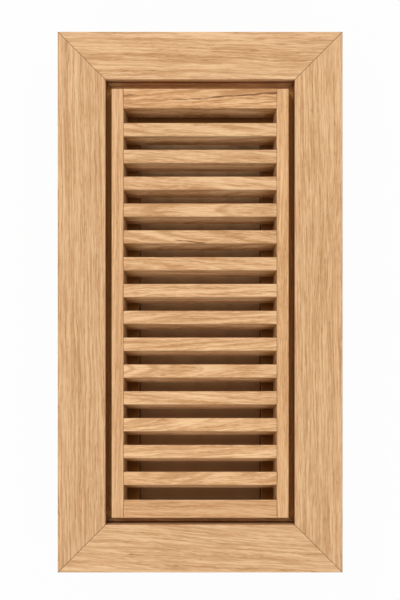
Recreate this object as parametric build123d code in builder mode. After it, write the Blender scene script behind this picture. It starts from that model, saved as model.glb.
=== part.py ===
from build123d import *
import os
from math import cos, hypot, radians, sin

# A flush floor register: a mitred oak frame, a drop-in louvred oak insert, and under the insert a
# sheet-steel damper with a row of ganged blades. All sizes are in millimetres. X runs across the register,
# Y along it, and Z points up out of the floor; the origin is under its middle, where the damper box ends.

# Oak frame
frame_width = 225.0
frame_length = 427.0
face_width = 37.6
ledge_width = 10.4
ledge_thickness = 6.35
edge_round = 0.6
spline_length = 30.0
spline_width = 16.0
spline_thickness = 4.0
glue_gap = 0.1

# Louvred insert
insert_thickness = 12.7
side_reveal = 5.0
end_reveal = 6.5
stile_width = 9.2
stile_bevel = 2.1
top_rail_width = 15.1
bottom_rail_width = 14.4
slat_count = 14
slat_width = 10.3
slat_lean = 5.05
slat_easing = 0.4
end_slot = 11.8
tenon_length = 4.0
tenon_shoulder = 2.2

# Damper box, folded from sheet steel, with a flange that is screwed under the stiles
sheet = 0.8
bend_radius = 1.0
side_flange = 13.0
top_lap = 7.8
bottom_overreach = 0.9
flange_play = 1.0
seat_gap = 0.1
screw_diameter = 2.5
screw_length = 5.0
screw_head_across = 5.5
screw_head_height = 2.4

# Damper blades and their pivot rods
blade_names = ("left", "mid_left", "mid_right", "right")
blade_gap = 0.4
blade_end_gap = 0.5
lip_height = 4.0
seam_lap = 1.5
lap_gap = 0.3
rod_diameter = 3.0
weld_gap = 0.05
running_gap = 0.1
swing_clearance = 1.2
cap_diameter = 6.0
cap_thickness = 1.0
cap_gap = 0.3
rod_end = 0.6

# Linkage at the far end of the blades
open_angle = 85.0
plate_thickness = 1.2
plate_gap = 0.3
crank_gap = 0.6
bay_clearance = 1.7
crank_arm = 9.0
arm_width = 6.5
lever_headroom = 3.5
finger_tab = 9.0
rivet_diameter = 2.5
rivet_head_diameter = 4.5
rivet_head = 0.8
open_pivot_gap = 0.3

# Plan of the frame's inside, the insert and the damper box
wall_x = frame_width / 2 - face_width
wall_y = frame_length / 2 - face_width
throat_x = wall_x - ledge_width
throat_y = wall_y - ledge_width
insert_x = wall_x - side_reveal
insert_half_length = wall_y - end_reveal
insert_y = seat_gap - flange_play
stile_inner_top = insert_x - stile_width
stile_inner_bottom = stile_inner_top - stile_bevel
tenon_tip = stile_inner_top + tenon_length
flange_x = throat_x - flange_play
flange_half_length = throat_y - flange_play
box_width = 2 * (flange_x - side_flange)

# Blade sizes, and the box depth that lets the blades swing
box_inside_width = box_width - 2 * sheet
blade_count = len(blade_names)
blade_width = (box_inside_width - (blade_count + 1) * blade_gap) / blade_count
blade_pitch = blade_width + blade_gap
blade_axes = [(number - (blade_count - 1) / 2) * blade_pitch for number in range(blade_count)]
blade_underside = rod_diameter / 2 + weld_gap
blade_top = blade_underside + sheet
lap_top = blade_top + lap_gap + sheet
lap_reach = blade_width / 2 + blade_gap + seam_lap
swing_radius = hypot(lap_reach, lap_top)
box_depth = 2 * (swing_radius + swing_clearance)
axis_height = box_depth / 2

# Heights
insert_bottom = box_depth
insert_top = insert_bottom + insert_thickness
frame_bottom = insert_bottom - ledge_thickness
frame_thickness = insert_thickness + ledge_thickness
flange_bottom = insert_bottom - sheet

# Where the rails and slats stand along the insert
top_end = insert_y + insert_half_length
bottom_end = insert_y - insert_half_length
top_rail_edge = top_end - top_rail_width
bottom_rail_edge = bottom_end + bottom_rail_width
first_slat = top_rail_edge - end_slot
last_slat = bottom_rail_edge + end_slot + slat_width
slat_pitch = (first_slat - last_slat) / (slat_count - 1)
slat_edges = [first_slat - number * slat_pitch for number in range(slat_count)]

# The box spans the slots where they leave the back of the insert: it stops short of the first slot, and
# reaches a little past the last one
box_top_end = top_rail_edge - slat_lean - top_lap + sheet
box_bottom_end = bottom_rail_edge - slat_lean - bottom_overreach - sheet
box_length = box_top_end - box_bottom_end
damper_y = (box_top_end + box_bottom_end) / 2
blade_bottom_end = box_bottom_end + sheet + blade_end_gap
linkage_bay = crank_gap + 2 * plate_thickness + 2 * plate_gap + rivet_head + bay_clearance
blade_top_end = box_top_end - sheet - linkage_bay
crank_y = blade_top_end + crank_gap
link_y = crank_y + plate_thickness + plate_gap
rivet_head_y = link_y + plate_thickness + plate_gap
lever_arm = box_depth / 2 - lever_headroom
crank_pin_x = crank_arm * sin(radians(open_angle / 2))
crank_pin_z = -crank_arm * cos(radians(open_angle / 2))

# Screws stand in the stiles, beside the slots, clear of the slat tenons
screw_x = (stile_inner_bottom + flange_x) / 2
screw_slats = (1, slat_count - 3)
screw_rows = [slat_edges[number] - slat_width / 2 - slat_lean - slat_pitch / 2 for number in screw_slats]


def frame_board(outward, run, reach, half_run):
    """A rabbeted board with mitred ends, slotted at each mitre for its spline."""
    outward, run = Vector(*outward), Vector(*run)
    half_face = outward * (reach - face_width / 2)
    with BuildPart() as board:
        with BuildSketch(Plane((0, 0, 0), x_dir=outward, z_dir=run)):
            with BuildLine():
                Polyline(
                    (reach, frame_bottom),
                    (reach, insert_top),
                    (reach - face_width, insert_top),
                    (reach - face_width, insert_bottom),
                    (reach - face_width - ledge_width, insert_bottom),
                    (reach - face_width - ledge_width, frame_bottom),
                    close=True,
                )
            make_face()
        extrude(amount=half_run, both=True)
        fillet(board.faces().sort_by(Axis.Z)[-1].edges().filter_by(Axis(Vector(0, 0, 0), run)), edge_round)
        for end in (run, -run):
            corner = outward * reach + end * half_run
            split(bisect_by=Plane(corner, z_dir=end - outward), keep=Keep.BOTTOM)
            spline_centre = half_face + end * (half_run - face_width / 2)
            spline_plane = Plane(spline_centre, x_dir=outward + end, z_dir=(0, 0, 1))
            with BuildSketch(spline_plane.offset(frame_bottom + frame_thickness / 2)):
                Rectangle(spline_length + 2 * glue_gap, spline_width + 2 * glue_gap)
            extrude(amount=spline_thickness / 2 + glue_gap, both=True, mode=Mode.SUBTRACT)
    return board.part


with BuildPart() as mitre_splines:
    for side in (1, -1):
        for end in (1, -1):
            centre = (side * (frame_width - face_width) / 2, end * (frame_length - face_width) / 2, 0)
            spline_plane = Plane(centre, x_dir=(side, end, 0), z_dir=(0, 0, 1))
            with BuildSketch(spline_plane.offset(frame_bottom + frame_thickness / 2)):
                Rectangle(spline_length, spline_width)
            extrude(amount=spline_thickness / 2, both=True)


def leaning_outline(upper_edge, upper_lean, lower_edge, lower_lean):
    """Corners of a rail's or slat's section, whose two sides lean by the given amounts."""
    return [
        (upper_edge, insert_top),
        (lower_edge, insert_top),
        (lower_edge - lower_lean, insert_bottom),
        (upper_edge - upper_lean, insert_bottom),
    ]


top_rail_outline = leaning_outline(top_end, 0, top_rail_edge, slat_lean)
bottom_rail_outline = leaning_outline(bottom_rail_edge, slat_lean, bottom_end, 0)
slat_outlines = [leaning_outline(edge, slat_lean, edge - slat_width, slat_lean) for edge in slat_edges]


def cross_piece(outline):
    """A rail or slat: it fits between the bevelled stiles and has a stub tenon at each end."""
    with BuildPart() as piece:
        with BuildSketch(Plane.YZ):
            with BuildLine():
                Polyline(*outline, close=True)
            make_face()
        extrude(amount=stile_inner_top, both=True)
        for side in (1, -1):
            shoulder_corner = (side * stile_inner_top, 0, insert_top)
            shoulder = Plane(shoulder_corner, z_dir=(side * insert_thickness, 0, -stile_bevel))
            split(bisect_by=shoulder, keep=Keep.BOTTOM)
        chamfer(piece.faces().sort_by(Axis.Z)[-1].edges().filter_by(Axis.X), slat_easing)
        with BuildSketch(Plane.YZ):
            with BuildLine():
                Polyline(*outline, close=True)
            make_face()
            offset(amount=-tenon_shoulder, kind=Kind.INTERSECTION)
        extrude(amount=tenon_tip, both=True)
    return piece.part


with BuildPart() as stile_right:
    with BuildSketch(Plane.XZ.offset(-insert_y)):
        with BuildLine():
            Polyline(
                (insert_x, insert_bottom),
                (insert_x, insert_top),
                (stile_inner_top, insert_top),
                (stile_inner_bottom, insert_bottom),
                close=True,
            )
        make_face()
    extrude(amount=insert_half_length, both=True)
    fillet(stile_right.faces().sort_by(Axis.Z)[-1].edges(), edge_round)
    for outline in [top_rail_outline, bottom_rail_outline] + slat_outlines:
        with BuildSketch(Plane.YZ):
            with BuildLine():
                Polyline(*outline, close=True)
            make_face()
            offset(amount=glue_gap - tenon_shoulder, kind=Kind.INTERSECTION)
        extrude(amount=tenon_tip + glue_gap, mode=Mode.SUBTRACT)
    with BuildSketch(Plane.XY.offset(insert_bottom)):
        with Locations(*[(screw_x, row) for row in screw_rows]):
            Circle(screw_diameter / 2 + weld_gap)
    extrude(amount=screw_length + glue_gap, mode=Mode.SUBTRACT)

with BuildPart() as stile_left:
    mirror(stile_right.part, about=Plane.YZ)

with BuildPart() as damper_side_right:
    with BuildSketch(Plane.XZ.offset(-damper_y)):
        with Locations((box_width / 2 - sheet, 0)):
            Rectangle(sheet, insert_bottom, align=(Align.MIN, Align.MIN))
    extrude(amount=box_length / 2, both=True)
    with BuildSketch(Plane.XY.offset(flange_bottom)):
        with Locations((box_width / 2 - sheet, insert_y)):
            Rectangle(side_flange + sheet, 2 * flange_half_length, align=(Align.MIN, Align.CENTER))
        with Locations(*[(screw_x, row) for row in screw_rows]):
            Circle(screw_diameter / 2 + running_gap, mode=Mode.SUBTRACT)
    extrude(amount=sheet)
    bend = damper_side_right.edges().filter_by(Axis.Y).group_by(SortBy.LENGTH)[-1]
    fillet(bend.sort_by(Axis.Z)[-2:].sort_by(Axis.X)[0], bend_radius)

with BuildPart() as damper_side_left:
    mirror(damper_side_right.part, about=Plane.YZ)


def damper_end(wall_face, flange_edge):
    """An end wall between the side walls, with its flange turned outwards at the top."""
    outward = 1 if flange_edge > wall_face else -1
    wall_inner = wall_face - outward * sheet
    with BuildPart() as end:
        with BuildSketch(Plane.YZ):
            with BuildLine():
                Polyline(
                    (wall_face, 0),
                    (wall_face, flange_bottom),
                    (flange_edge, flange_bottom),
                    (flange_edge, insert_bottom),
                    (wall_inner, insert_bottom),
                    (wall_inner, 0),
                    close=True,
                )
            make_face()
        extrude(amount=box_inside_width / 2, both=True)
        rim = end.edges().filter_by(Axis.X).sort_by(lambda edge: abs(edge.center().Y - wall_inner))[:2]
        fillet(rim.sort_by(Axis.Z)[-1], bend_radius)
        with BuildSketch(Plane.XZ.offset(-wall_face)):
            with Locations(*[(axis_x, axis_height) for axis_x in blade_axes]):
                Circle(rod_diameter / 2 + running_gap)
        extrude(amount=2 * sheet, both=True, mode=Mode.SUBTRACT)
    return end.part


with BuildPart() as flange_screws:
    screw_places = [(side * screw_x, row) for side in (1, -1) for row in screw_rows]
    with BuildSketch(Plane.XY.offset(flange_bottom)):
        with Locations(*screw_places):
            RegularPolygon(screw_head_across / 2, side_count=6, major_radius=False, rotation=30)
    extrude(amount=-screw_head_height)
    with BuildSketch(Plane.XY.offset(flange_bottom)):
        with Locations(*screw_places):
            Circle(screw_diameter / 2)
    extrude(amount=sheet + screw_length)


def blade(axis_x):
    """A flat blade with a lip turned down along its right edge. Its left edge steps up and laps over the
    next blade; the first blade has no neighbour there and gets a second lip instead."""
    right, left, lap_edge = axis_x + blade_width / 2, axis_x - blade_width / 2, axis_x - lap_reach
    top, underside = axis_height + blade_top, axis_height + blade_underside
    lip_end = top - lip_height
    lap_upper, lap_lower = axis_height + lap_top, axis_height + lap_top - sheet
    second_lip = [(left, top), (left, lip_end), (left + sheet, lip_end), (left + sheet, underside)]
    lap = [(left + sheet, top), (left + sheet, lap_upper), (lap_edge, lap_upper)]
    lap += [(lap_edge, lap_lower), (left, lap_lower), (left, underside)]
    is_first = axis_x == blade_axes[0]
    with BuildPart() as plate:
        with BuildSketch(Plane.XZ.offset(-blade_bottom_end)):
            with BuildLine():
                Polyline(
                    (right, top),
                    *(second_lip if is_first else lap),
                    (right - sheet, underside),
                    (right - sheet, lip_end),
                    (right, lip_end),
                    close=True,
                )
            make_face()
        extrude(amount=blade_bottom_end - blade_top_end)
        columns = plate.edges().filter_by(Axis.Y).group_by(Axis.X)
        lip_columns = [columns[0], columns[-1]] if is_first else [columns[-1]]
        fillet([column.sort_by(Axis.Z)[-1] for column in lip_columns], bend_radius)
    return plate.part


def pivot_rod(axis_x):
    """A rod welded under a blade, long enough to carry a cap outside each end wall."""
    overhang = cap_gap + cap_thickness + rod_end
    with BuildPart() as rod:
        with BuildSketch(Plane.XZ.offset(-damper_y)):
            with Locations((axis_x, axis_height)):
                Circle(rod_diameter / 2)
        extrude(amount=box_length / 2 + overhang, both=True)
    return rod.part


def rod_caps(axis_x):
    """Two push-on caps that keep a rod in its end walls."""
    with BuildPart() as caps:
        for end in (1, -1):
            with BuildSketch(Plane.XZ.offset(-damper_y - end * (box_length / 2 + cap_gap))):
                with Locations((axis_x, axis_height)):
                    Circle(cap_diameter / 2)
                    Circle(rod_diameter / 2 + weld_gap, mode=Mode.SUBTRACT)
            extrude(amount=-end * cap_thickness)
    return caps.part


def arm_plane(axis_x):
    """A plane on a rod's axis, turned so that its X runs up the leaning arm."""
    lean = radians(open_angle / 2)
    return Plane((axis_x, crank_y, axis_height), x_dir=(-sin(lean), 0, cos(lean)), z_dir=(0, 1, 0))


def crank(axis_x):
    """A short arm fixed on a rod, with a hole for its rivet."""
    with BuildPart() as arm:
        with BuildSketch(arm_plane(axis_x)):
            with Locations((-crank_arm / 2, 0)):
                SlotCenterToCenter(crank_arm, arm_width)
            Circle(rod_diameter / 2 + weld_gap, mode=Mode.SUBTRACT)
            with Locations((-crank_arm, 0)):
                Circle(rivet_diameter / 2 + weld_gap, mode=Mode.SUBTRACT)
        extrude(amount=plate_thickness)
    return arm.part


with BuildPart() as lever:
    lever_x = blade_axes[-1]
    add(crank(lever_x))
    with BuildSketch(arm_plane(lever_x)):
        with Locations((rod_diameter, 0)):
            Rectangle(lever_arm - rod_diameter, arm_width, align=(Align.MIN, Align.CENTER))
    extrude(amount=plate_thickness)
    with BuildSketch(arm_plane(lever_x).offset(plate_thickness)):
        with Locations((lever_arm, 0)):
            Rectangle(plate_thickness, arm_width, align=(Align.MAX, Align.CENTER))
    extrude(amount=-finger_tab)

with BuildPart() as link_bar:
    pins = [(axis_x + crank_pin_x, axis_height + crank_pin_z) for axis_x in blade_axes]
    with BuildSketch(Plane.XZ.offset(-link_y)):
        with Locations((crank_pin_x, axis_height + crank_pin_z)):
            SlotCenterToCenter(blade_axes[-1] - blade_axes[0], arm_width)
        with Locations(pins[-1]):
            Circle(rivet_diameter / 2 + running_gap, mode=Mode.SUBTRACT)
        with Locations(*pins[:-1]):
            Circle(rivet_diameter / 2 + open_pivot_gap, mode=Mode.SUBTRACT)
    extrude(amount=-plate_thickness)


def link_rivet(axis_x):
    """A rivet fixed in a crank, with its head over the link bar."""
    centre = (axis_x + crank_pin_x, axis_height + crank_pin_z)
    with BuildPart() as rivet:
        with BuildSketch(Plane.XZ.offset(-crank_y)):
            with Locations(centre):
                Circle(rivet_diameter / 2)
        extrude(amount=crank_y - rivet_head_y)
        with BuildSketch(Plane.XZ.offset(-rivet_head_y)):
            with Locations(centre):
                Circle(rivet_head_diameter / 2)
        extrude(amount=-rivet_head)
    return rivet.part


pieces = {
    "frame_side_right": frame_board((1, 0, 0), (0, -1, 0), frame_width / 2, frame_length / 2),
    "frame_side_left": frame_board((-1, 0, 0), (0, 1, 0), frame_width / 2, frame_length / 2),
    "frame_end_top": frame_board((0, 1, 0), (1, 0, 0), frame_length / 2, frame_width / 2),
    "frame_end_bottom": frame_board((0, -1, 0), (-1, 0, 0), frame_length / 2, frame_width / 2),
    "mitre_splines": mitre_splines.part,
    "stile_right": stile_right.part,
    "stile_left": stile_left.part,
    "end_rail_top": cross_piece(top_rail_outline),
    "end_rail_bottom": cross_piece(bottom_rail_outline),
    "damper_side_right": damper_side_right.part,
    "damper_side_left": damper_side_left.part,
    "damper_end_top": damper_end(box_top_end, insert_y + flange_half_length),
    "damper_end_bottom": damper_end(box_bottom_end, insert_y - flange_half_length),
    "flange_screws": flange_screws.part,
    "lever": lever.part,
    "link_bar": link_bar.part,
}
for name, axis_x in zip(blade_names, blade_axes):
    pieces[f"blade_{name}"] = blade(axis_x)
    pieces[f"rod_{name}"] = pivot_rod(axis_x)
    pieces[f"rod_caps_{name}"] = rod_caps(axis_x)
    pieces[f"link_rivet_{name}"] = link_rivet(axis_x)
for name, axis_x in zip(blade_names[:-1], blade_axes):
    pieces[f"crank_{name}"] = crank(axis_x)
for number, outline in enumerate(slat_outlines, start=1):
    pieces[f"slat_{number:02d}"] = cross_piece(outline)

os.makedirs("parts", exist_ok=True)
for name, piece in pieces.items():
    piece.label = name
    export_step(piece, f"parts/{name}.step")
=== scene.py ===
import math

import bpy
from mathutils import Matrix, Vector


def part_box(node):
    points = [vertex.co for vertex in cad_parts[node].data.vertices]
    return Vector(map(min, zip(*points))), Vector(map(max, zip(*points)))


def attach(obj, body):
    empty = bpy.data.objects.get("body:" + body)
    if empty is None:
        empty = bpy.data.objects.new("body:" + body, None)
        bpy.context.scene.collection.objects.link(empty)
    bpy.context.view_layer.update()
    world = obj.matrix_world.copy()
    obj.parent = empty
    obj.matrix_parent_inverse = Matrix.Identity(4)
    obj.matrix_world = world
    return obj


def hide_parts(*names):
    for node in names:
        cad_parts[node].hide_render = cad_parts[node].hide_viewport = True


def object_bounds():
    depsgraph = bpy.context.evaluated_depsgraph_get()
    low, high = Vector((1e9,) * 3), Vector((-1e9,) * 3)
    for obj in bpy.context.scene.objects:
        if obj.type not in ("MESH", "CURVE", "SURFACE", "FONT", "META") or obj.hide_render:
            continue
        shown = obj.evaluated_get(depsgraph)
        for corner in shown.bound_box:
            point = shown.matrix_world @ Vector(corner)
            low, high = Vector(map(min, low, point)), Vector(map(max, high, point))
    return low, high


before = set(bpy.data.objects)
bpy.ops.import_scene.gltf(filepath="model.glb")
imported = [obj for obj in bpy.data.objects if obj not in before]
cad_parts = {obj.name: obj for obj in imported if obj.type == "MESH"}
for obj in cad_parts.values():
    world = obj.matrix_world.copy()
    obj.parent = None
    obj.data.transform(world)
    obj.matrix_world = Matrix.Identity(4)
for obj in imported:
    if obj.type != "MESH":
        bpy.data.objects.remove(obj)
cad_low, cad_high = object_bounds()


# The frame: four oak boards, planed, rabbeted for the insert and mitred at the corners.
# The mitres are glued, so each corner shows one thin dark line that runs on down the rabbet.
# The boards are flat-sawn, with the grain along each board, under a clear satin sealer.
class Socket:
    """One output in a material's tree. Sums and products of sockets add their Math nodes."""

    mix_factor, mix_first, mix_second, mix_result = 0, 6, 7, 2

    def __init__(self, tree, plug=None):
        self.tree = tree
        self.plug = plug

    def node(self, kind, settings, sockets, output=0):
        """Adds a node: its settings first, then the values or links of its sockets."""
        made = self.tree.nodes.new(kind)
        for name, value in settings.items():
            if name == "stops":
                ramp = made.color_ramp.elements
                while len(ramp) < len(value):
                    ramp.new(1.0)
                for element, (place, colour) in zip(ramp, value):
                    element.position = place
                    element.color = (*colour, 1.0)
            else:
                setattr(made, name, value)
        for name, value in sockets.items():
            if isinstance(value, Socket):
                self.tree.links.new(value.plug, made.inputs[name])
            else:
                made.inputs[name].default_value = value
        return Socket(self.tree, made.outputs[output])

    def math(self, operation, *values):
        return self.node("ShaderNodeMath", {"operation": operation}, dict(enumerate(values)))

    def __add__(self, other):
        return self.math("ADD", self, other)

    def __radd__(self, other):
        return self.math("ADD", other, self)

    def __sub__(self, other):
        return self.math("SUBTRACT", self, other)

    def __rsub__(self, other):
        return self.math("SUBTRACT", other, self)

    def __mul__(self, other):
        return self.math("MULTIPLY", self, other)

    def __rmul__(self, other):
        return self.math("MULTIPLY", other, self)

    def __truediv__(self, other):
        return self.math("DIVIDE", self, other)

    def __rtruediv__(self, other):
        return self.math("DIVIDE", other, self)

    def __pow__(self, other):
        return self.math("POWER", self, other)

    def __abs__(self):
        return self.math("ABSOLUTE", self)

    def least(self, other):
        return self.math("MINIMUM", self, other)

    def most(self, other):
        return self.math("MAXIMUM", self, other)

    def part(self, axis):
        """One part of a vector: its X, Y or Z."""
        return self.node("ShaderNodeSeparateXYZ", {}, {"Vector": self}, output=axis)

    def between(self, low, high):
        """0 below low, 1 above high and smooth between them; low may be the larger."""
        sockets = {"Value": self, "From Min": low, "From Max": high}
        return self.node("ShaderNodeMapRange", {"interpolation_type": "SMOOTHSTEP"}, sockets)

    def towards(self, first, second):
        """The colour that lies this far from the first to the second."""
        ends = {self.mix_first: colour_value(first), self.mix_second: colour_value(second)}
        sockets = {self.mix_factor: self, **ends}
        return self.node("ShaderNodeMix", {"data_type": "RGBA"}, sockets, output=self.mix_result)

    def tinted(self, tint):
        """This colour times another."""
        sockets = {self.mix_factor: 1.0, self.mix_first: self, self.mix_second: colour_value(tint)}
        settings = {"data_type": "RGBA", "blend_type": "MULTIPLY"}
        return self.node("ShaderNodeMix", settings, sockets, output=self.mix_result)

    def feeds(self, shader, name):
        """Links this output to a socket of the shader."""
        self.tree.links.new(self.plug, shader.inputs[name])


def colour_value(colour):
    return colour if isinstance(colour, Socket) else (*colour, 1.0)


def paint(red, green, blue):
    """A colour given as it looks on screen, made linear for the shader."""
    parts = [part / 255 for part in (red, green, blue)]
    return tuple(part / 12.92 if part <= 0.04045 else ((part + 0.055) / 1.055) ** 2.4 for part in parts)


def new_material(name):
    """A material with its principled shader; returns an empty socket, the shader and the material."""
    material = bpy.data.materials.new(name)
    material.use_nodes = True
    shader = material.node_tree.nodes["Principled BSDF"]
    return Socket(material.node_tree), shader, material


def noise(place, scale, detail):
    """Noise from 0 to 1 that swings about noise_middle."""
    return place.node("ShaderNodeTexNoise", {}, {"Vector": place, "Scale": scale, "Detail": detail})


def corners(node):
    """The low and the high corner of a CAD piece's box."""
    return [Vector(corner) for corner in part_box(node)]


def dress(node, material):
    """Gives a CAD piece its material."""
    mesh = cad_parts[node].data
    mesh.materials.clear()
    mesh.materials.append(material)


MM = 0.001
noise_middle = 0.5
bump_height = 0.2 * MM
oak_light = paint(236, 196, 150)
oak_mid = paint(225, 181, 135)
oak_dark = paint(208, 161, 114)
oak_line = paint(186, 138, 91)
oak_pore = paint(150, 103, 62)
oak_vein = paint(158, 110, 68)
oak_streak = paint(100, 58, 24)
oak_glue = paint(92, 60, 33)
plain_oak = (1, 1, 1)
ring_weight = 0.9
strand_weight = 0.85
hair_weight = 0.6
cloud_weight = 0.2
line_strength = 0.5
pore_strength = 0.6
vein_strength = 0.6
streak_strength = 0.8
streak_fade = 10.0
late_pores = 0.25
oak_relief = 0.2
strand_relief = 0.3
hair_relief = 0.2
sealer_roughness = 0.5
pore_roughness = 0.2
strand_roughness = 0.1
sealer_gloss = 0.3


def oak(node, turn, seed, pith, taper, sway=5.0, ring=1.8, contrast=1.0, tone=plain_oak, seam=None,
        painted_shading=(), streaks=()):
    """Dresses a piece in oak. The grain runs along X turned by the given angle. In mm, pith is how far the
    middle of the trunk lies across and below the piece, sway how far the grain wanders, and ring the width
    of a year's growth; taper is the slope of the rings along the grain. Seam is the mask of a glue line.
    Each mask of painted shading comes with the tint of the oak there: painted shade on the sides of the
    insert's pieces, in the slot corners, at the foot of the rabbet's wall and on its side ledges, and
    painted light on its end ledges and at the foot of the sides, with a painted highlight on the eased
    edges. Each streak is a dark line in one ring: its radius, and its start and end along the grain."""
    canvas, shader, material = new_material("oak_" + node)
    low, high = corners(node)
    place = canvas.node("ShaderNodeTexCoord", {}, {}, output="Object")
    turned = (0, 0, math.radians(turn))
    sockets = {"Vector": place, "Location": (low + high) / 2, "Rotation": turned, "Scale": (MM, MM, MM)}
    grain = canvas.node("ShaderNodeMapping", {"vector_type": "TEXTURE"}, sockets)
    along, across, deep = (grain.part(axis) for axis in "XYZ")

    def fibres(length, width, detail, cross):
        """Noise drawn out along the grain, with the given length and width of its marks in mm."""
        stretched = {"X": along / length + seed, "Y": cross / width, "Z": deep / width}
        return noise(canvas.node("ShaderNodeCombineXYZ", {}, stretched), scale=1.0, detail=detail)

    wander = fibres(length=95.0, width=30.0, detail=1.0, cross=across) - noise_middle
    ripple = fibres(length=17.0, width=6.0, detail=2.0, cross=across) - noise_middle
    ripple_sway = sway * 0.45
    side = across + wander * sway + ripple * ripple_sway
    radius = ((side - pith[0]) ** 2.0 + (deep + pith[1]) ** 2.0) ** 0.5 - along * taper
    ring_slice = seed * 3.7

    def layers(width, length):
        """Noise that follows the growth rings, with marks of the given width and length in mm."""
        growth = {"X": radius / width, "Y": along / length + seed, "Z": ring_slice}
        return noise(canvas.node("ShaderNodeCombineXYZ", {}, growth), scale=1.0, detail=1.0)

    rings = layers(width=ring, length=110.0)
    lines = layers(width=0.75, length=38.0).between(0.5, 0.64)
    strand = fibres(length=15.0, width=0.65, detail=2.0, cross=side)
    hair = fibres(length=7.0, width=0.32, detail=1.0, cross=side)
    cloud = fibres(length=48.0, width=13.0, detail=1.0, cross=across)
    figure = (rings - noise_middle) * ring_weight + (strand - noise_middle) * strand_weight
    figure = figure + (hair - noise_middle) * hair_weight + (cloud - noise_middle) * cloud_weight
    stops = [(0.16, oak_line), (0.36, oak_dark), (0.54, oak_mid), (0.78, oak_light)]
    wood = canvas.node("ShaderNodeValToRGB", {"stops": stops}, {"Fac": figure * contrast + noise_middle})

    pores = fibres(length=6.0, width=0.45, detail=1.0, cross=side).between(0.60, 0.70)
    early = rings.between(0.56, 0.38)
    pores = pores * (early * (1 - late_pores) + late_pores)
    veins = fibres(length=24.0, width=0.8, detail=1.0, cross=side).between(0.64, 0.74)
    veins = veins * cloud.between(0.42, 0.6)
    wood = (lines * (line_strength * contrast)).towards(wood, oak_line)
    wood = (pores * pore_strength).towards(wood, oak_pore)
    wood = (veins * vein_strength).towards(wood, oak_vein)
    for edge, start, end in streaks:
        stroke = abs(radius - edge).between(0.4, 0.12)
        stroke = stroke * along.between(start, start + streak_fade) * along.between(end, end - streak_fade)
        stroke = stroke * fibres(length=9.0, width=2.0, detail=1.0, cross=side).between(0.3, 0.55)
        wood = (stroke * streak_strength).towards(wood, oak_streak)
    wood = wood.tinted(tone)
    # Each mask tints the oak with its painted light and shade.
    for mask, painted_tint in painted_shading:
        wood = wood.tinted(mask(place).towards(plain_oak, painted_tint))
    if seam:
        wood = seam(place).towards(wood, oak_glue)
    wood.feeds(shader, "Base Color")
    rough = sealer_roughness + pores * pore_roughness + (strand - noise_middle) * strand_roughness
    rough.feeds(shader, "Roughness")
    height = strand * strand_relief + hair * hair_relief - pores
    relief = {"Strength": oak_relief, "Distance": bump_height, "Height": height}
    canvas.node("ShaderNodeBump", {}, relief).feeds(shader, "Normal")
    shader.inputs["Specular IOR Level"].default_value = sealer_gloss
    dress(node, material)


frame_half_width = (cad_high.x - cad_low.x) / 2
frame_half_length = (cad_high.y - cad_low.y) / 2
face_width = 37.6 * MM
ledge_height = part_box("stile_left")[0][2]
ledge_skin = (ledge_height + 0.3 * MM, ledge_height + 0.8 * MM)
mitre_strength = 0.8


def mitre_line(place):
    """1 on the glue line of a mitre, which lies where both outer edges are equally far away."""
    from_side = frame_half_width - abs(place.part("X"))
    from_end = frame_half_length - abs(place.part("Y"))
    return abs(from_side - from_end).between(0.5 * MM, 0.2 * MM) * mitre_strength


def in_rabbet(place, low, high):
    """1 on the faces of the rabbet at or below one height, fading to 0 at a higher one."""
    from_side = frame_half_width - abs(place.part("X"))
    from_end = frame_half_length - abs(place.part("Y"))
    inward = from_side.least(from_end).between(face_width - 1.0 * MM, face_width - 0.3 * MM)
    return inward * place.part("Z").between(high, low)


def rabbet_wall_shade(place):
    """1 on the foot of the rabbet's wall, fading to 0 at the frame's face: where shade is painted into the
    oak.
    """
    ledge = in_rabbet(place, *ledge_skin)
    return in_rabbet(place, ledge_height + 2.0 * MM, cad_high.z) * (1 - ledge)


def rabbet_ledge(place):
    """1 on the upper face of the rabbet's ledge, which carries the insert. Its tint paints shade on the side
    ledges and light on the end ledges.
    """
    upper_face = place.part("Z").between(ledge_height - 0.5 * MM, ledge_height - 0.2 * MM)
    return in_rabbet(place, *ledge_skin) * upper_face


# The left board is a shade darker than the right, as painted light that evens out the stronger left lamps.
left_side_tone = (1.005, 0.995, 0.98)
right_side_tone = (1.04, 1.03, 1.01)
end_tone = (1.06, 1.05, 1.04)
# Painted shade darkens the foot of each rabbet wall and the side ledges; painted light brightens the end
# ledges.
side_rabbet = ((rabbet_wall_shade, (0.34, 0.28, 0.2)), (rabbet_ledge, (0.95, 0.76, 0.36)))
top_rabbet = ((rabbet_wall_shade, (0.32, 0.27, 0.22)), (rabbet_ledge, (1.25, 1.25, 1.15)))
bottom_rabbet = ((rabbet_wall_shade, (0.2, 0.16, 0.12)), (rabbet_ledge, (1.3, 1.3, 1.2)))
oak("frame_side_left", turn=90, seed=2.3, pith=(-70.0, 34.0), taper=0.010, sway=3.6, ring=0.95,
    tone=left_side_tone, seam=mitre_line, painted_shading=side_rabbet)
oak("frame_side_right", turn=90, seed=5.1, pith=(64.0, 30.0), taper=-0.012, sway=3.6, ring=0.95,
    tone=right_side_tone, seam=mitre_line, painted_shading=side_rabbet)
oak("frame_end_top", turn=0, seed=7.7, pith=(52.0, 36.0), taper=0.014, sway=6.0, ring=1.4,
    tone=end_tone, seam=mitre_line, painted_shading=top_rabbet)
oak("frame_end_bottom", turn=-6, seed=11.2, pith=(-48.0, 30.0), taper=0.03, sway=6.0, ring=1.4,
    tone=end_tone, seam=mitre_line, painted_shading=bottom_rabbet)


# The mitre splines: loose oak tongues, glued across each corner where the boards hide them.
# They keep the mitres from opening as the boards move with the seasons.
oak("mitre_splines", turn=45, seed=13.4, pith=(30.0, 20.0), taper=0.01)


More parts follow.
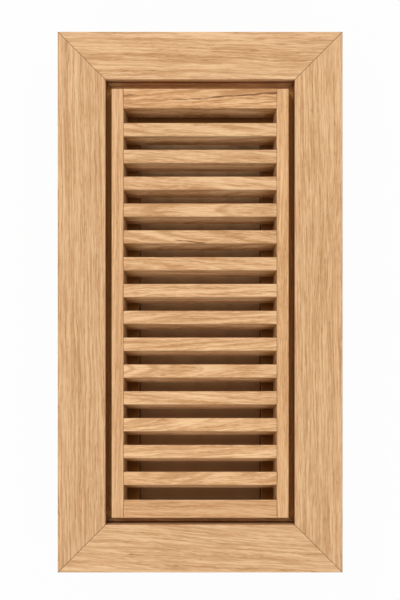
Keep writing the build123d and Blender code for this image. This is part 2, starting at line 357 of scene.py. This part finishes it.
# The stiles: the two long edges of the insert, oak strips with their inner faces bevelled.
# Each is mortised for the slats and rails, and its straight grain runs the whole length.
# The edges of the face are eased with sandpaper, and the sides are left as they were sawn; the eased edges
# carry a painted highlight and the sides painted shade.
def below_face(place):
    """1 on the sides of the insert's pieces, below the rounded edge of the face, where shade is painted into
    the oak.
    """
    return place.part("Z").between(cad_high.z - 0.5 * MM, cad_high.z - 1.2 * MM)


def eased_edge(place):
    """1 on the eased edges round a face, where a highlight is painted into the oak."""
    height = place.part("Z")
    under_face = height.between(cad_high.z - 0.03 * MM, cad_high.z - 0.15 * MM)
    return under_face * height.between(cad_high.z - 0.7 * MM, cad_high.z - 0.5 * MM)


# The left stile is a shade darker than the right: partly its own tone, partly painted light that evens out
# the stronger left lamps.
left_stile_tone = (1.03, 0.99, 0.94)
right_stile_tone = (1.09, 1.04, 0.97)
# The tint of the painted highlight on the eased edges.
edge_highlight = (1.08, 1.08, 1.09)
# The stiles' sides: a painted highlight on the eased edges and painted shade below them.
stile_sides = ((eased_edge, edge_highlight), (below_face, (0.62, 0.58, 0.51)))
oak("stile_left", turn=90, seed=17.9, pith=(42.0, 26.0), taper=0.012, sway=4.0, contrast=0.8,
    tone=left_stile_tone, painted_shading=stile_sides)
oak("stile_right", turn=90, seed=21.3, pith=(-40.0, 24.0), taper=-0.008, sway=4.0, contrast=0.8,
    tone=right_stile_tone, painted_shading=stile_sides)


# The end rails: wider oak strips that close the insert at both ends.
# They are tenoned into the stiles, and their ends show a thin glue line against them.
# In the top rail two of the growth rings carry a dark streak.
shoulder_reach = 60.7 * MM
shoulder_strength = 0.75
foot_top = ledge_height + 3.6 * MM
foot_full = ledge_height + 0.6 * MM
corner_shade_start = 43.5 * MM
corner_shade_full = 58.0 * MM


def shoulder_line(place):
    """1 at the very end of a rail or slat, where its shoulder meets the stile."""
    end = abs(place.part("X")).between(shoulder_reach - 0.45 * MM, shoulder_reach - 0.2 * MM)
    return end * shoulder_strength


def painted_foot_light(place):
    """1 at the foot of a rail's or slat's side, where light is painted into the oak."""
    return place.part("Z").between(foot_top, foot_full)


def corner_shade(place):
    """1 in the corners of a slot, where a rail's or slat's side meets the stile and shade is painted into
    the oak.
    """
    return abs(place.part("X")).between(corner_shade_start, corner_shade_full) * below_face(place)


# The sides of rails and slats: a painted highlight on the eased edges, painted shade on the sides and in the
# slot corners, and painted light at their foot.
cross_sides = (
    (eased_edge, edge_highlight),
    (below_face, (0.76, 0.73, 0.7)),
    (painted_foot_light, (1.3, 1.46, 1.6)),
    (corner_shade, (0.68, 0.58, 0.43)),
)
top_rail_tone = (1.04, 0.965, 0.875)
bottom_rail_tone = (0.99, 0.92, 0.84)
rail_streaks = ((25.3, -25.0, 85.0), (22.6, -85.0, -48.0))
oak("end_rail_top", turn=0, seed=25.7, pith=(14.0, 16.0), taper=-0.03, sway=6.0, contrast=1.7,
    tone=top_rail_tone, seam=shoulder_line, painted_shading=cross_sides, streaks=rail_streaks)
oak("end_rail_bottom", turn=0, seed=29.2, pith=(-16.0, 20.0), taper=-0.02,
    tone=bottom_rail_tone, seam=shoulder_line, painted_shading=cross_sides)


# The slats: fourteen leaning oak strips, ripped from different boards so that no two match.
# A stub tenon at each end is glued into the stiles. From the first slat to the last the wood gets a shade
# paler, as painted light that evens out the weaker near lamps, and the fifth has a short dark streak.
slat_tone = (1.11, 1.09, 1.06)
first_shade = 0.95
shade_step = 0.0085
slat_streaks = {5: ((18.8, -24.0, 14.0),)}
slat_figures = [
    (33.1, (9.0, 12.0), 0.04),
    (36.7, (-6.0, 9.0), -0.05),
    (39.4, (12.0, 10.0), 0.06),
    (43.2, (2.0, 7.0), 0.03),
    (51.3, (8.0, 9.0), 0.07),
    (46.9, (-3.0, 8.0), -0.04),
    (54.8, (-14.0, 12.0), 0.03),
    (58.6, (16.0, 14.0), -0.03),
    (61.9, (-9.0, 10.0), 0.05),
    (66.4, (5.0, 9.0), -0.06),
    (69.7, (-7.0, 8.0), -0.05),
    (73.5, (11.0, 12.0), -0.06),
    (77.2, (-12.0, 12.0), 0.04),
    (80.6, (7.0, 14.0), -0.03),
]
for number, (seed, pith, taper) in enumerate(slat_figures, start=1):
    shade = first_shade + shade_step * (number - 1)
    oak(f"slat_{number:02d}", turn=0, seed=seed, pith=pith, taper=taper, sway=6.0, contrast=1.25,
        tone=[part * shade for part in slat_tone], seam=shoulder_line, painted_shading=cross_sides,
        streaks=slat_streaks.get(number, ()))


# The damper box: two side walls and two end walls, folded from thin sheet steel with a flange turned out at
# the top. The flange and the outside are sprayed dark brown, the ends a shade darker than the sides, and the
# inside tan; the brown runs on a ragged 2 mm down the inner walls as painted shade on their lit top.
blade_tan = paint(192, 160, 120)
blade_tan_shade = paint(186, 153, 114)
box_brown = paint(124, 78, 30)
box_brown_shade = paint(108, 66, 23)
end_brown = paint(104, 64, 21)
end_brown_shade = paint(90, 54, 16)
box_roughness = 0.7
mottle_scale = 18.0
peel_scale = 900.0
peel_roughness = 0.12
peel_relief = 0.08
spray_gloss = 0.12


def sprayed(piece, colour, shade, seed, rough, lining=None):
    """Spray paint for a piece, mottled between two browns, with a faint orange peel. A lining is
    the mask of the faces that are sprayed tan."""
    canvas, shader, material = new_material("paint_" + piece)
    place = canvas.node("ShaderNodeTexCoord", {}, {}, output="Object")
    cloud = noise(place, mottle_scale + seed, detail=3.0)
    peel = noise(place, peel_scale, detail=1.0)
    mottle = cloud.between(0.35, 0.65)
    coat = mottle.towards(colour, shade)
    if lining:
        coat = lining(place, cloud).towards(coat, mottle.towards(blade_tan, blade_tan_shade))
    coat.feeds(shader, "Base Color")
    (rough + (peel - noise_middle) * peel_roughness).feeds(shader, "Roughness")
    relief = {"Strength": peel_relief, "Distance": bump_height, "Height": peel}
    canvas.node("ShaderNodeBump", {}, relief).feeds(shader, "Normal")
    shader.inputs["Specular IOR Level"].default_value = spray_gloss
    return material


box_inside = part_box("damper_end_top")[1][0]
box_near_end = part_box("blade_right")[0][1]
box_far_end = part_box("damper_end_top")[0][1]
flange_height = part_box("damper_end_top")[1][2]
spray_wander = 2.0 * MM


def box_lining(place, cloud):
    """1 on the inner faces of the box, from a ragged line just below the flange down; the brown left above
    it is painted shade.
    """
    height = place.part("Z") + (cloud - noise_middle) * spray_wander
    below = height.between(flange_height - 0.4 * MM, flange_height - 2.6 * MM)
    across = abs(place.part("X")).between(box_inside + 0.4 * MM, box_inside + 0.2 * MM)
    along = place.part("Y")
    near = along.between(box_near_end - 0.9 * MM, box_near_end - 0.7 * MM)
    far = along.between(box_far_end + 0.4 * MM, box_far_end + 0.2 * MM)
    return below * across * near * far


for seed, wall in enumerate(("damper_side_right", "damper_side_left")):
    dress(wall, sprayed(wall, box_brown, box_brown_shade, seed, box_roughness, box_lining))
for seed, wall in enumerate(("damper_end_top", "damper_end_bottom"), start=2):
    dress(wall, sprayed(wall, end_brown, end_brown_shade, seed, box_roughness, box_lining))


# The tack welds on the box: three short beads on each seam where an end wall meets a side wall.
# They are laid before the box is sprayed, so the dark paint runs over them.
bead_unevenness = 0.16 * MM


def choose_faces(piece, wanted):
    """Selects the faces whose middle and normal pass the test, and leaves the piece in edit mode."""
    bpy.ops.object.mode_set(mode="EDIT")
    bpy.ops.mesh.select_mode(type="FACE")
    bpy.ops.mesh.select_all(action="DESELECT")
    bpy.ops.object.mode_set(mode="OBJECT")
    for face in piece.data.polygons:
        face.select = wanted(face.center, face.normal)
    bpy.ops.object.mode_set(mode="EDIT")


def weld_bead(size, seed):
    """One bead at the origin: a ball pressed flat to the given half sizes in mm, with an uneven skin."""
    bpy.ops.object.select_all(action="DESELECT")
    bpy.ops.mesh.primitive_uv_sphere_add(segments=14, ring_count=8, radius=MM, location=(0, 0, 0))
    bead = bpy.context.object
    bpy.ops.object.mode_set(mode="EDIT")
    bpy.ops.mesh.select_all(action="SELECT")
    bpy.ops.transform.vertex_random(offset=bead_unevenness, uniform=1.0, seed=seed)
    bpy.ops.transform.resize(value=size, center_override=(0, 0, 0))
    bpy.ops.object.mode_set(mode="OBJECT")
    smooth = bead.modifiers.new("smooth", "SUBSURF")
    smooth.levels = smooth.render_levels = 1
    bpy.ops.object.modifier_apply(modifier=smooth.name)
    bpy.ops.object.shade_smooth()
    return bead


def repeat(model, places, name):
    """Copies a finished model to each place and joins the copies into one piece."""
    bpy.ops.object.select_all(action="DESELECT")
    for place in places:
        copy = model.copy()
        copy.data = model.data.copy()
        bpy.context.scene.collection.objects.link(copy)
        copy.location = place
        copy.select_set(True)
        bpy.context.view_layer.objects.active = copy
    bpy.ops.object.transform_apply(location=True, rotation=True, scale=True)
    if len(places) > 1:
        bpy.ops.object.join()
    piece = bpy.context.object
    piece.name = piece.data.name = name
    return piece


cap_to_wall = 1.3 * MM
caps_near_end, caps_far_end = (corner[1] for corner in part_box("rod_caps_right"))
seam_ends = (caps_far_end - cap_to_wall, caps_near_end + cap_to_wall)
weld_heights = (5.0 * MM, 15.0 * MM, 25.0 * MM)
seam_places = [(side * box_inside, end, z) for side in (1, -1) for end in seam_ends for z in weld_heights]
bead = weld_bead(size=(1.5, 0.35, 2.6), seed=3)
corner_welds = repeat(bead, seam_places, "corner_welds")
bpy.data.objects.remove(bead)
corner_welds.data.materials.append(sprayed("corner_welds", box_brown, box_brown_shade, 4, box_roughness))
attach(corner_welds, "register")


# The flange screws: four indented hex heads with a pressed washer, zinc-plated steel, driven up
# through the flange into the stiles.
zinc_dull = paint(176, 178, 178)
zinc_bright = paint(204, 205, 203)
zinc_roughness = 0.3
spangle_scale = 160.0
spangle_roughness = 0.2


def zinc(piece, seed, dull=zinc_dull, bright=zinc_bright):
    """Zinc plating for a piece: pale grey metal with soft, cloudy spangles."""
    canvas, shader, material = new_material("zinc_" + piece)
    place = canvas.node("ShaderNodeTexCoord", {}, {}, output="Object")
    cloud = noise(place, spangle_scale + seed, detail=3.0)
    cloud.between(0.3, 0.7).towards(dull, bright).feeds(shader, "Base Color")
    (zinc_roughness + cloud * spangle_roughness).feeds(shader, "Roughness")
    shader.inputs["Metallic"].default_value = 1.0
    return material


screw_low, screw_high = corners("flange_screws")
head_across = 5.5 * MM
head_height = 2.4 * MM
head_chamfer = 0.35 * MM
indent_rim = 0.9 * MM
indent_depth = 0.7 * MM
washer_radius = 3.4 * MM
washer_height = 0.6 * MM
washer_round = 0.3 * MM
shank_radius = 1.25 * MM
point_height = 1.2 * MM
point_width = 0.15
shank_height = screw_high.z - screw_low.z - head_height - point_height
hexagon = head_across / 2 / math.cos(math.pi / 6)
sharp_angle = math.radians(35)


def facing_down(middle, normal):
    return normal.z < -0.9


def facing_up(middle, normal):
    return normal.z > 0.9


bpy.ops.object.select_all(action="DESELECT")
head_middle = (0, 0, -head_height / 2)
bpy.ops.mesh.primitive_cylinder_add(vertices=6, radius=hexagon, depth=head_height, location=head_middle)
head = bpy.context.object
bpy.ops.object.transform_apply(location=True, rotation=True, scale=True)
choose_faces(head, facing_down)
bpy.ops.mesh.bevel(offset=head_chamfer, segments=2, affect="EDGES")
choose_faces(head, facing_down)
bpy.ops.mesh.inset(thickness=indent_rim)
bpy.ops.mesh.extrude_region_move(TRANSFORM_OT_translate={"value": (0, 0, indent_depth)})
bpy.ops.object.mode_set(mode="OBJECT")
bpy.ops.mesh.primitive_cylinder_add(vertices=32, radius=washer_radius, depth=washer_height)
washer = bpy.context.object
washer.location = (0, 0, -washer_height / 2)
bpy.ops.object.transform_apply(location=True, rotation=True, scale=True)
choose_faces(washer, facing_down)
bpy.ops.mesh.bevel(offset=washer_round, segments=2, affect="EDGES")
bpy.ops.object.mode_set(mode="OBJECT")
bpy.ops.mesh.primitive_cylinder_add(vertices=24, radius=shank_radius, depth=shank_height)
shank = bpy.context.object
shank.location = (0, 0, shank_height / 2)
bpy.ops.object.transform_apply(location=True, rotation=True, scale=True)
choose_faces(shank, facing_up)
bpy.ops.mesh.extrude_region_move(TRANSFORM_OT_translate={"value": (0, 0, point_height)})
point_end = (0, 0, shank_height + point_height)
bpy.ops.transform.resize(value=(point_width, point_width, 1), center_override=point_end)
bpy.ops.object.mode_set(mode="OBJECT")
for part in (washer, shank, head):
    part.select_set(True)
bpy.context.view_layer.objects.active = head
bpy.ops.object.join()
bpy.ops.object.shade_smooth_by_angle(angle=sharp_angle)
screw_x = screw_high.x - head_across / 2
screw_rows = (screw_low.y + hexagon, screw_high.y - hexagon)
screw_places = [(side * screw_x, row, screw_low.z + head_height) for side in (1, -1) for row in screw_rows]
hex_screws = repeat(head, screw_places, "hex_screws")
bpy.data.objects.remove(head)
hex_screws.data.materials.append(zinc("hex_screws", 0))
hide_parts("flange_screws")
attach(hex_screws, "register")


# The damper blades: four sheet-steel leaves with a stiffening lip, each lapped over its neighbour.
# They are sprayed a flat tan brown and, closed, make the plane that shows through the slots.
leaves = ("left", "mid_left", "mid_right", "right")
blade_roughness = 0.65
for seed, leaf in enumerate(leaves):
    dress("blade_" + leaf, sprayed("blade_" + leaf, blade_tan, blade_tan_shade, seed, blade_roughness))


# The pivot rods: zinc-plated round bar, tack-welded along the underside of each blade.
# The beads alternate between the two sides of the rod and have a dull, heat-browned skin.
weld_dull = paint(104, 98, 92)
weld_bright = paint(142, 136, 128)
beads_on_rod = 9
first_bead = 0.04
bead_step = 0.115
bead_side = 1.3 * MM
bead_rise = 1.2 * MM
bead_seed = 11
skin_seed = 20
for seed, leaf in enumerate(leaves):
    dress("rod_" + leaf, zinc("rod_" + leaf, seed))
    rod_low, rod_high = corners("rod_" + leaf)
    blade_low, blade_high = corners("blade_" + leaf)
    rod_middle = (rod_low + rod_high) / 2
    bead_places = []
    for number in range(beads_on_rod):
        row = blade_low.y + (blade_high.y - blade_low.y) * (first_bead + bead_step * number)
        beside = bead_side if number % 2 else -bead_side
        bead_places.append((rod_middle.x + beside, row, rod_middle.z + bead_rise))
    bead = weld_bead(size=(0.8, 3.0, 0.7), seed=bead_seed + seed)
    welds = repeat(bead, bead_places, "rod_welds_" + leaf)
    bpy.data.objects.remove(bead)
    welds.data.materials.append(zinc("rod_welds_" + leaf, skin_seed + seed, weld_dull, weld_bright))
    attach(welds, leaf + "_blade")


# The rod caps: push-on spring-steel rings outside the end walls, which keep the rods from sliding out.
# They are pressed from strip with a rounded rim, and zinc-plated.
cap_low, cap_high = corners("rod_caps_left")
cap_radius = (cap_high.x - cap_low.x) / 2
cap_height = 1.0 * MM
cap_rim = 0.35 * MM
cap_hole = 1.55 * MM


def flat_side(middle, normal):
    return abs(normal.z) > 0.99


bpy.ops.object.select_all(action="DESELECT")
bpy.ops.mesh.primitive_cylinder_add(vertices=36, radius=cap_radius, depth=cap_height, location=(0, 0, 0))
ring = bpy.context.object
choose_faces(ring, flat_side)
bpy.ops.mesh.bevel(offset=cap_rim, segments=3, affect="EDGES")
choose_faces(ring, flat_side)
bpy.ops.mesh.inset(thickness=cap_radius - cap_rim - cap_hole, use_individual=True)
choose_faces(ring, lambda middle, normal: flat_side(middle, normal) and middle.xy.length < cap_hole / 2)
bpy.ops.mesh.bridge_edge_loops()
bpy.ops.object.mode_set(mode="OBJECT")
bpy.ops.object.shade_smooth_by_angle(angle=sharp_angle)
ring.rotation_euler = (math.pi / 2, 0, 0)
for seed, leaf in enumerate(leaves, start=5):
    cap_low, cap_high = corners("rod_caps_" + leaf)
    cap_middle = (cap_low + cap_high) / 2
    rows = (cap_low.y + cap_height / 2, cap_high.y - cap_height / 2)
    caps = repeat(ring, [(cap_middle.x, row, cap_middle.z) for row in rows], "push_caps_" + leaf)
    caps.data.materials.append(zinc("push_caps_" + leaf, seed))
    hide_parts("rod_caps_" + leaf)
    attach(caps, leaf + "_blade")
bpy.data.objects.remove(ring)


# The linkage: a lever on the right rod, a crank on each other rod, and a bar that joins them all.
# They are stamped from zinc-plated strip.
for seed, piece in enumerate(("lever", "crank_left", "crank_mid_left", "crank_mid_right", "link_bar")):
    dress(piece, zinc(piece, seed))


# The link rivets: button-headed steel rivets, peened fast in the lever and the cranks.
# The bar turns freely on their shanks, under the heads.
rivet_low, rivet_high = corners("link_rivet_left")
button_radius = (rivet_high.x - rivet_low.x) / 2
button_height = 0.8 * MM
button_round = button_height * 0.9
pin_radius = 1.25 * MM
pin_height = rivet_high.y - rivet_low.y - button_height
pin_chamfer = 0.2 * MM


def pin_end(middle, normal):
    return facing_down(middle, normal) and middle.z < -pin_height * 0.4


bpy.ops.object.select_all(action="DESELECT")
bpy.ops.mesh.primitive_cylinder_add(vertices=32, radius=pin_radius, depth=pin_height, location=(0, 0, 0))
rivet = bpy.context.object
choose_faces(rivet, facing_up)
bpy.ops.mesh.extrude_region_move(TRANSFORM_OT_translate={"value": (0, 0, 0)})
widen = button_radius / pin_radius
bpy.ops.transform.resize(value=(widen, widen, 1), center_override=(0, 0, pin_height / 2))
bpy.ops.mesh.extrude_region_move(TRANSFORM_OT_translate={"value": (0, 0, button_height)})
bpy.ops.mesh.bevel(offset=button_round, segments=5, affect="EDGES")
choose_faces(rivet, pin_end)
bpy.ops.mesh.bevel(offset=pin_chamfer, segments=2, affect="EDGES")
bpy.ops.object.mode_set(mode="OBJECT")
bpy.ops.object.shade_smooth_by_angle(angle=sharp_angle)
rivet.rotation_euler = (-math.pi / 2, 0, 0)
for seed, leaf in enumerate(leaves, start=9):
    rivet_low, rivet_high = corners("link_rivet_" + leaf)
    middle = (rivet_low + rivet_high) / 2
    button = repeat(rivet, [(middle.x, rivet_low.y + pin_height / 2, middle.z)], "button_rivet_" + leaf)
    button.data.materials.append(zinc("button_rivet_" + leaf, seed))
    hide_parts("link_rivet_" + leaf)
    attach(button, leaf + "_blade")
bpy.data.objects.remove(rivet)


# The studio: a plain white floor and four large soft lights, set on the diagonals so that none
# shines along a groove. The left pair is stronger than the right, and the far pair than the near.
# Past the register's edge the floor shows white, less its shadow.
floor_size = 6.0
floor_grey = (0.8, 0.8, 0.8, 1)
white = (1, 1, 1, 1)
glow_share = 0.96
bpy.ops.object.select_all(action="DESELECT")
bpy.ops.mesh.primitive_plane_add(size=floor_size, location=(0, 0, cad_low.z))
floor = bpy.context.object
floor.name = "floor"
canvas, shader, material = new_material("floor_white")
shader.inputs["Base Color"].default_value = floor_grey
shader.inputs["Roughness"].default_value = 0.9
place = canvas.node("ShaderNodeTexCoord", {}, {}, output="Object")
over_side = abs(place.part("X")) / frame_half_width
over_end = abs(place.part("Y")) / frame_half_length
outside = over_side.most(over_end).between(0.9, 0.98)
seen = canvas.node("ShaderNodeLightPath", {}, {}, output="Is Camera Ray")
glow = canvas.node("ShaderNodeEmission", {}, {"Color": white, "Strength": 1.0})
lit = Socket(canvas.tree, shader.outputs[0])
mixed = canvas.node("ShaderNodeMixShader", {}, {0: seen * outside * glow_share, 1: lit, 2: glow})
mixed.feeds(canvas.tree.nodes["Material Output"], "Surface")
floor.data.materials.append(material)

top = cad_high.z
light_size = 0.6
light_reach = 0.75
light_height = top + 0.9


def softbox(name, x, y, power):
    """A square soft light, aimed at the middle of the register's face."""
    lamp = bpy.data.lights.new(name, "AREA")
    lamp.shape = "RECTANGLE"
    lamp.size = lamp.size_y = light_size
    lamp.energy = power
    stand = bpy.data.objects.new(name, lamp)
    bpy.context.scene.collection.objects.link(stand)
    stand.location = (x, y, light_height)
    aim = Vector((0, 0, top)) - Vector((x, y, light_height))
    stand.rotation_euler = aim.to_track_quat("-Z", "Y").to_euler()


softbox("softbox_far_left", -light_reach, light_reach, power=8.4)
softbox("softbox_far_right", light_reach, light_reach, power=5.6)
softbox("softbox_near_left", -light_reach, -light_reach, power=6.2)
softbox("softbox_near_right", light_reach, -light_reach, power=4.2)

world = bpy.data.worlds.new("studio")
bpy.context.scene.world = world
world.use_nodes = True
ambient = 0.18
sky = Socket(world.node_tree)
rays = ("Is Camera Ray", "Is Glossy Ray", "Is Transmission Ray")
camera_ray, glossy_ray, transmission_ray = (
    sky.node("ShaderNodeLightPath", {}, {}, output=ray) for ray in rays)
shown = camera_ray.most(glossy_ray).most(transmission_ray)
background = world.node_tree.nodes["Background"]
background.inputs["Color"].default_value = white
(shown * (1 - ambient) + ambient).feeds(background, "Strength")


# The camera: straight above the register, with the photograph's 400 by 600 frame.
# It hangs at about arm's length, so that the slats' sides and the grooves' walls show as they do
# there, and stands a little off the middle, as the photograph is framed.
picture_rows = 600
pixel = MM / 1.267
distance = 0.66
sensor = 36.0
off_middle = (-0.15 * pixel, 2.15 * pixel)
lens = bpy.data.cameras.new("camera")
lens.lens = sensor * distance / (picture_rows * pixel)
camera = bpy.data.objects.new("camera", lens)
bpy.context.scene.collection.objects.link(camera)
camera.location = (*off_middle, top + distance)
bpy.context.scene.camera = camera
bpy.context.scene.view_settings.view_transform = "Standard"
